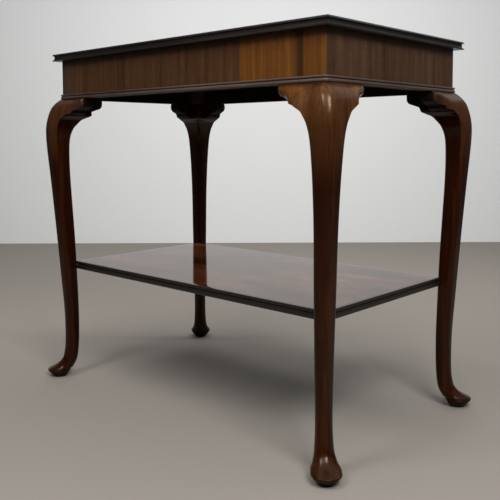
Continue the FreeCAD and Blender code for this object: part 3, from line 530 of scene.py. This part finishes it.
def face_post(piece, broad):
    """The square post above the knee shows the tones of the veneer beside it."""
    for material in (broad, LEAF_END):
        piece.data.materials.append(material)
    for polygon in piece.data.polygons:
        if polygon.center.z > KNEE_TOP * MM and abs(polygon.normal.z) < 0.5:
            polygon.material_index = 1 if abs(polygon.normal.y) > abs(polygon.normal.x) else 2


def make_legs():
    rings = leg_rings()
    outer = [share for ring in rings for share in facing_out(ring)]
    for number, (end, side) in enumerate(CORNERS):
        sign_x, sign_y = SIDES[side][0], SIDES[end][1]
        placed = [[(sign_x * (FACE_X + x), sign_y * (FACE_Y + y), z) for x, y, z in ring]
                  for ring in rings]
        points, faces = skin(placed)
        grain = [own_timber((x * 0.9 + y * 0.45, y, z), number, LEG_TIMBER) for x, y, z in points]
        name = f"leg_{end}_{side}"
        piece = add_piece(name + "_polished", name, points, faces, grain,
                          LEG if (end, side) == LIT_CORNER else LEG_SHADED, sharp=50, outer=outer)
        face_post(piece, POST_LIGHT if side == "right" else POST_DARK)


# Ears, each in its own frame: X along the rail away from the post, Y outwards, Z up from the
# knee top. Rows, as in the part's source: how far along, how deep the cushioned face runs, how
# much of the knee's fullness is left at its foot, and its radius as a share of its chord
EAR_ROWS = (
    (0.0, 1.0, 1.0, 1.11),
    (0.16, 0.95, 0.90, 1.0),
    (0.32, 0.84, 0.63, 0.75),
    (0.46, 0.73, 0.39, 0.61),
    (0.62, 0.64, 0.15, 0.55),
    (0.80, 0.56, 0.03, 0.54),
    (0.93, 0.46, 0.0, 0.57),
    (1.0, 0.27, 0.0, 0.9),
)
EAR_END_BULGE, KNEE_BULGE = 6.5, POST * KNEE_ROWS[0][1]
NOSE_DROP, NOSE_RADIUS, NOSE_START = 9, 11, (0.66, 0.94)
LOBE_LENGTH, LOBE_HEIGHT, NOTCH_WIDTH, NOTCH_HEIGHT, HOLLOW_DEPTH = 27.5, 25.8, 3, 5.8, 0.48
EAR_STATIONS = smooth_rows(EAR_ROWS, 8)
KNEE_STATIONS = smooth_rows([(share, out) for share, out, *_ in KNEE_ROWS] + [(1.0, BEAD_OUT / POST)], 8)
# The ear's face is brought flush with the knee over this run, and starts a little inside the leg
FLUSH_RUN, EAR_JOINT = 9, 0.4
HOLLOW_STEPS, NOSE_STEPS, DOWN_STEPS = 6, 7, 18


def between(rows, share):
    """The row at a share of the way, straight between its neighbours."""
    index = next((i for i in range(len(rows) - 1) if share <= rows[i + 1][0]), len(rows) - 2)
    a, b = rows[index], rows[index + 1]
    t = (share - a[0]) / (b[0] - a[0])
    return [lerp(p, q, t) for p, q in zip(a, b)][1:]


def cushion(share, depth):
    """How far an ear's own curve stands out, at a share along it and a depth."""
    run, fullness, roundness = between(EAR_STATIONS, share)
    foot = EAR_DEPTH * run
    low = lerp(EAR_END_BULGE, KNEE_BULGE, fullness)
    if depth >= foot:
        return low
    chord = Vector((low - BEAD_OUT, foot))
    radius = chord.length * roundness
    inwards = Vector((-chord.y, chord.x)).normalized() * math.sqrt(radius ** 2 - chord.length_squared / 4)
    centre = Vector((BEAD_OUT, 0)) + chord / 2 + inwards
    return centre.x + math.sqrt(max(radius ** 2 - (depth - centre.y) ** 2, 0))


def ear_face(x, depth):
    """The face of the ear: its cushion, brought flush with the knee next to the post."""
    knee = between(KNEE_STATIONS, 1 - depth / EAR_DEPTH)[0] * POST
    x = max(x, 0)
    flush = max(1 - x / FLUSH_RUN, 0) ** 2
    return cushion(x / EAR_LENGTH, depth) + (knee - cushion(0, depth)) * flush


def ear_underside():
    """Points (along, depth) of the ear's lower outline, from the post to its free end: a slight
    hollow to a cusp, a notch, a lobe and a rounded nose."""
    notch = EAR_LENGTH - LOBE_LENGTH
    cusp = (notch - NOTCH_WIDTH, LOBE_HEIGHT + NOTCH_HEIGHT)
    nose = (EAR_LENGTH - NOSE_RADIUS * NOSE_START[0], NOSE_DROP + NOSE_RADIUS * NOSE_START[1])
    points = []
    for step in range(HOLLOW_STEPS + 1):
        t = step / HOLLOW_STEPS
        hollow = HOLLOW_DEPTH * 4 * t * (1 - t)
        points.append((cusp[0] * t, lerp(EAR_DEPTH, cusp[1], t) - hollow))
    for t in (0.33, 0.66, 1):
        points.append((lerp(cusp[0], notch, t), lerp(cusp[1], LOBE_HEIGHT, t)))
    for t in (0.2, 0.4, 0.6, 0.8, 1):
        points.append((lerp(notch, nose[0], t), lerp(LOBE_HEIGHT, nose[1], t)))
    # The rounding ends upright, so its centre lies level with the foot of the free end
    centre_x = EAR_LENGTH - NOSE_RADIUS
    start = math.asin((nose[1] - NOSE_DROP) / NOSE_RADIUS)
    for step in range(1, NOSE_STEPS + 1):
        angle = start * (1 - step / NOSE_STEPS)
        points.append((centre_x + NOSE_RADIUS * math.cos(angle), NOSE_DROP + NOSE_RADIUS * math.sin(angle)))
    points[-1] = (EAR_LENGTH, NOSE_DROP)
    return points


def ear_mesh():
    rings = []
    for x, depth in ear_underside():
        x = min(x, EAR_LENGTH) if x > 0 else -EAR_JOINT
        turns = [math.pi / 2 * step / DOWN_STEPS for step in range(DOWN_STEPS + 1)]
        down = [depth * (1 - math.cos(turn)) for turn in turns]
        front = [(x, ear_face(x, d), -d) for d in down]
        under = [(x, lerp(front[-1][1], -EAR_THICKNESS, t), -depth) for t in (0.25, 0.5, 0.75)]
        back = [(x, -EAR_THICKNESS, -d) for d in (depth, depth / 2, 0)]
        over = [(x, lerp(-EAR_THICKNESS, BEAD_OUT, t), 0) for t in (0.33, 0.66)]
        rings.append(front + under + back + over)
    return skin(rings)


def place_ear(points, sign_x, sign_y, way):
    """An ear's points, moved from its own frame to the long or the short rail of a leg."""
    if way == "long":
        return [(sign_x * (FACE_X - POST - x), sign_y * (FACE_Y + y), KNEE_TOP + z) for x, y, z in points]
    return [(sign_x * (FACE_X + y), sign_y * (FACE_Y - POST - x), KNEE_TOP + z) for x, y, z in points]


def darken_underside(piece, outwards):
    """All but the carved face is painted near black, as painted shade."""
    piece.data.materials.append(EAR_PAINTED_SHADE)
    for polygon in piece.data.polygons:
        if polygon.normal.dot(outwards) < 0.3:
            polygon.material_index = 1


def make_ears():
    points, faces = ear_mesh()
    number = 0
    for end, side in CORNERS:
        sign_x, sign_y = SIDES[side][0], SIDES[end][1]
        material = EAR if (end, side) == LIT_CORNER else EAR_SHADED
        for way, outwards in (("long", (0, sign_y, 0)), ("short", (sign_x, 0, 0))):
            number += 1
            grain = [own_timber((x * 0.8 + y * 0.5, y, z), number, EAR_TIMBER) for x, y, z in points]
            name = f"ear_{end}_{side}_{way}"
            piece = add_piece(name + "_carved", name, place_ear(points, sign_x, sign_y, way), faces, grain,
                              material, bevel=0.4)
            darken_underside(piece, Vector(outwards))


# Mouldings. A profile holds points (outwards from the inner line, up)

def top_edge_profile():
    """A lip, a cove, an upright hollow and a quarter-round nose that overhangs it."""
    width, height, lip, recess, nose = TOP_EDGE, TOP_THICKNESS, 2.2, 3.2, 4
    soft = 0.4
    points = [(0, 0), (width - soft, 0), (width, soft), (width, lip - soft), (width - soft, lip)]
    for step in range(2, 9):
        angle = math.pi / 2 * step / 8
        points.append((width - recess * math.sin(angle), lip + recess * (1 - math.cos(angle))))
    under = height - nose
    points += [(width - recess, under), (width - soft, under), (width, under + soft)]
    for step in range(2, 13):
        angle = math.pi / 2 * step / 12
        points.append((width - nose + nose * math.cos(angle), under + nose * math.sin(angle)))
    points.append((0, height))
    return points


def reeded(width, height, low_reed, low_radius, high_radius, groove_width, groove_depth):
    """Two reeds, one over the other, with a quirk between them."""
    floor = width - groove_depth
    high = low_reed + groove_width
    quirk_radius = 0.2
    outline = [
        (0, 0, 0), (width, 0, low_radius), (width, low_reed, low_radius), (floor, low_reed, quirk_radius),
        (floor, high, quirk_radius), (width, high, high_radius), (width, height, high_radius),
        (0, height, 0),
    ]
    return [(p.x, p.y) for p in rounded(outline, 5)]


def bead_side(side, profile):
    """The bead along one side of the frieze, turned round each post as far as the mitre."""
    nx, ny = SIDES[side]
    along, out = Vector((-ny, nx)), Vector((nx, ny))
    radius = POST_CORNER + BEAD_OUT
    half_x, half_y = FACE_X + BEAD_OUT, FACE_Y + BEAD_OUT
    half_run = (half_y if nx else half_x) - radius
    reach = (half_x if nx else half_y) - radius
    turns = [t / 6 for t in range(7)]
    stations = [(-half_run, -math.pi / 4 * (1 - t)) for t in turns]
    stations += [(lerp(-half_run, half_run, t / 12), 0) for t in range(1, 12)]
    stations += [(half_run, math.pi / 4 * t) for t in turns]
    rings, run = [], []
    for place, angle in stations:
        origin = out * reach + along * place
        direction = out * math.cos(angle) + along * math.sin(angle)
        ring = []
        for across, up in profile:
            spot = origin + direction * (POST_CORNER + across)
            ring.append((spot.x, spot.y, KNEE_TOP + up))
        rings.append(ring)
        run.append(place + angle * radius)
    points, faces = skin(rings)
    return points, faces, [(across, up, place) for place in run for across, up in profile]


def make_bead():
    profile = reeded(BEAD_OUT, BEAD_HEIGHT, low_reed=5.8, low_radius=2.2, high_radius=1.4,
                     groove_width=1.0, groove_depth=2.6)
    for number, side in enumerate(SIDES):
        points, faces, places = bead_side(side, profile)
        grain = [own_timber((across + BEAD_START, up, run), number, BEAD_TIMBER)
                 for across, up, run in places]
        add_piece(f"bead_{side}_moulded", f"bead_{side}", points, faces, grain,
                  BEAD, sharp=40)


def make_mitred(prefix, half_x, half_y, width, profile, height, start, clip=0, rim=None):
    """Four straight mouldings with mitred ends, clipped where a leg stands. start is their
    first place in the timber, rim the material of their upper face."""
    for number, side in enumerate(SIDES):
        nx, ny = SIDES[side]
        along, out = Vector((-ny, nx)), Vector((nx, ny))
        half_run, reach = (half_y, half_x) if nx else (half_x, half_y)
        rings = []
        for t in [s / 6 for s in range(-6, 7)]:
            ring = []
            for across, up in profile:
                # A mitre on the inner part of the end, and the leg's flat on the outer part
                from_edge = width - across
                end = half_run - max(from_edge, clip - from_edge)
                spot = out * (reach - from_edge) + along * (end * t)
                ring.append((spot.x, spot.y, height + up))
            rings.append(ring)
        points, faces = skin(rings)
        grain = []
        for x, y, z in points:
            across, run = (x, y) if nx else (y, x)
            grain.append(own_timber((across + start, z, run), number, EDGE_TIMBER))
        piece = add_piece(f"{prefix}_{side}_moulded", f"{prefix}_{side}", points, faces, grain,
                          BLACKED, sharp=40)
        if rim:
            piece.data.materials.append(rim)
            for polygon in piece.data.polygons:
                if polygon.normal.z > 0.99:
                    polygon.material_index = 1


def make_top_edge():
    make_mitred("top_edge", TOP_X, TOP_Y, TOP_EDGE, top_edge_profile(), UNDER_TOP, TOP_EDGE_START)


def make_shelf_edge():
    profile = reeded(SHELF_EDGE, SHELF_THICKNESS, low_reed=9.4, low_radius=2.0, high_radius=2.4,
                     groove_width=1.3, groove_depth=3.2)
    make_mitred("shelf_edge", SHELF_X, SHELF_Y, SHELF_EDGE, profile, SHELF_TOP - SHELF_THICKNESS,
                SHELF_EDGE_START, SHELF_CLIP, SHELF_RIM)


# Veneer of the frieze: thin leaves with softened edges, so that each joint shows as a line

def leaf(name, low, high, material, number):
    (x0, y0, z0), (x1, y1, z1) = low, high
    points = [(x, y, z) for z in (z0, z1) for x, y in ((x0, y0), (x1, y0), (x1, y1), (x0, y1))]
    faces = [(3, 2, 1, 0), (4, 5, 6, 7), (0, 1, 5, 4), (1, 2, 6, 5), (2, 3, 7, 6), (3, 0, 4, 7)]
    grain = [own_timber((x + y, 0, z), number, LEAF_TIMBER) for x, y, z in points]
    add_piece(name + "_leaf", name, points, faces, grain, material, bevel=0.25)


def make_frieze():
    low, high = KNEE_TOP, UNDER_TOP
    run_x, run_y = FACE_X - POST, FACE_Y - POST
    joint = run_x - LEAF_JOINT
    for number, (side, sign) in enumerate((("front", -1), ("back", 1))):
        y0, y1 = sorted((sign * FACE_Y, sign * (FACE_Y - LEAF_THICKNESS)))
        leaf(f"frieze_veneer_{side}_left", (-run_x, y0, low), (joint, y1, high), LEAF_DARK, number)
        leaf(f"frieze_veneer_{side}_right", (joint, y0, low), (run_x, y1, high), LEAF_LIGHT, number + 2)
    for number, (side, sign) in enumerate((("right", 1), ("left", -1)), start=4):
        x0, x1 = sorted((sign * FACE_X, sign * (FACE_X - LEAF_THICKNESS)))
        leaf(f"frieze_veneer_{side}", (x0, -run_y, low), (x1, run_y, high), LEAF_END, number)


make_legs()
make_ears()
make_top_edge()
make_bead()
make_shelf_edge()
make_frieze()

# The hidden and flat pieces keep their CAD shape and get their material
FINISH = {
    "top_veneer": TOP, "shelf_veneer": SHELF, "top_screws": STEEL, "ear_screws": STEEL,
    "shelf_dowels": BEECH, "rail_left": PINE_SHORT, "rail_right": PINE_SHORT,
    "glue_block_left": PINE_SHORT, "glue_block_right": PINE_SHORT,
}
for name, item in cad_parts.items():
    if item.hide_render:
        continue
    finish = next((FINISH[key] for key in FINISH if name.startswith(key)), PINE_LONG)
    item.data.materials.clear()
    item.data.materials.append(finish)


# Camera

CAMERA_PLACE = Vector((1.003236, -1.068945, 0.529722))
YAW, PITCH, ROLL = (math.radians(value) for value in (42.828, 3.849, -0.1875))
forward = Vector((-math.sin(YAW) * math.cos(PITCH), math.cos(YAW) * math.cos(PITCH), -math.sin(PITCH)))
level = Vector((math.cos(YAW), math.sin(YAW), 0))
upright = level.cross(forward)
right = level * math.cos(ROLL) + upright * math.sin(ROLL)
up = upright * math.cos(ROLL) - level * math.sin(ROLL)
camera_data = bpy.data.cameras.new("camera")
camera_data.lens = 51.167
camera_data.sensor_width = 36
camera_data.shift_y = -0.13
camera = bpy.data.objects.new("camera", camera_data)
camera.matrix_world = Matrix((
    (right.x, up.x, -forward.x, CAMERA_PLACE.x),
    (right.y, up.y, -forward.y, CAMERA_PLACE.y),
    (right.z, up.z, -forward.z, CAMERA_PLACE.z),
    (0, 0, 0, 1),
))
bpy.context.scene.collection.objects.link(camera)
bpy.context.scene.camera = camera


# Stage: a plain floor and wall square to the camera's heading, in metres

heading = Vector((-math.sin(YAW), math.cos(YAW), 0))
WALL_DISTANCE, WALL_HEIGHT, STAGE_HALF, STAGE_FRONT = 2.08, 3, 4, -3.5
FLOOR_COLOUR, WALL_COLOUR = (0.270, 0.242, 0.212), (0.80, 0.81, 0.81)


def around(ahead, aside, height):
    """A place in metres from the table's middle, along the camera's heading and to its right."""
    return heading * ahead + level * aside + Vector((0, 0, height))


def stage_plane(name, corners, colour):
    mesh = bpy.data.meshes.new(name)
    mesh.from_pydata(corners, [], [tuple(range(len(corners)))])
    shader = Shader(name)
    shader.put(shader.surface, "Base_Color", (*colour, 1))
    shader.put(shader.surface, "Roughness", 0.8)
    mesh.materials.append(shader.material)
    item = bpy.data.objects.new(name, mesh)
    bpy.context.scene.collection.objects.link(item)


stage_plane("floor", [around(STAGE_FRONT, -STAGE_HALF, 0), around(STAGE_FRONT, STAGE_HALF, 0),
                      around(WALL_DISTANCE, STAGE_HALF, 0), around(WALL_DISTANCE, -STAGE_HALF, 0)],
            FLOOR_COLOUR)
stage_plane("wall", [around(WALL_DISTANCE, -STAGE_HALF, 0), around(WALL_DISTANCE, STAGE_HALF, 0),
                     around(WALL_DISTANCE, STAGE_HALF, WALL_HEIGHT),
                     around(WALL_DISTANCE, -STAGE_HALF, WALL_HEIGHT)],
            WALL_COLOUR)


# Light: soft panes that the near knee mirrors, a ceiling and a wash over the wall

NEAR_KNEE = Vector((0.37, -0.22, 0.58))
# Name, azimuth and elevation in degrees, distance, width, height, radiance
PANES = (
    ("pane_left", -108, 42, 1.7, 0.52, 0.56, 14.5),
    ("pane_middle", -66, 46, 1.7, 1.15, 0.8, 2.4),
    ("pane_right", -25, 43, 1.7, 0.76, 0.66, 20),
    ("right_fill", 62, 38, 2.0, 2.2, 1.2, 0.55),
)
CEILING_HEIGHT, CEILING_SIZE, CEILING_RADIANCE = 2.9, 3.0, 1.1
WASH_HEIGHT, WASH_TARGET, WASH_WIDTH, WASH_DEPTH, WASH_POWER = 1.2, 0.45, 2.0, 0.3, 13.8
ROOM_COLOUR, ROOM_STRENGTH = (0.62, 0.63, 0.64), 0.12


def lamp(name, place, target, width, height, power):
    data = bpy.data.lights.new(name, "AREA")
    data.shape = "RECTANGLE"
    data.size, data.size_y = width, height
    data.energy = power
    item = bpy.data.objects.new(name, data)
    item.location = place
    item.rotation_euler = (Vector(target) - Vector(place)).to_track_quat("-Z", "Y").to_euler()
    bpy.context.scene.collection.objects.link(item)


def pane_power(radiance, width, height):
    """The power in watts that gives a pane its brightness."""
    return radiance * math.pi * width * height


for name, azimuth, elevation, distance, width, height, radiance in PANES:
    azimuth, elevation = math.radians(azimuth), math.radians(elevation)
    away = Vector((math.cos(elevation) * math.cos(azimuth), math.cos(elevation) * math.sin(azimuth),
                   math.sin(elevation)))
    lamp(name, NEAR_KNEE + away * distance, NEAR_KNEE, width, height, pane_power(radiance, width, height))
lamp("ceiling", around(-0.5, 0, CEILING_HEIGHT), around(-0.5, 0, 0), CEILING_SIZE, CEILING_SIZE,
     pane_power(CEILING_RADIANCE, CEILING_SIZE, CEILING_SIZE))
lamp("wall_wash", around(0.4, 0.1, WASH_HEIGHT), around(WALL_DISTANCE, 0.1, WASH_TARGET), WASH_WIDTH,
     WASH_DEPTH, WASH_POWER)

world = bpy.data.worlds.new("world")
world.use_nodes = True
background = world.node_tree.nodes["Background"]
background.inputs["Color"].default_value = (*ROOM_COLOUR, 1)
background.inputs["Strength"].default_value = ROOM_STRENGTH
bpy.context.scene.world = world
bpy.context.scene.view_settings.view_transform = "Standard"
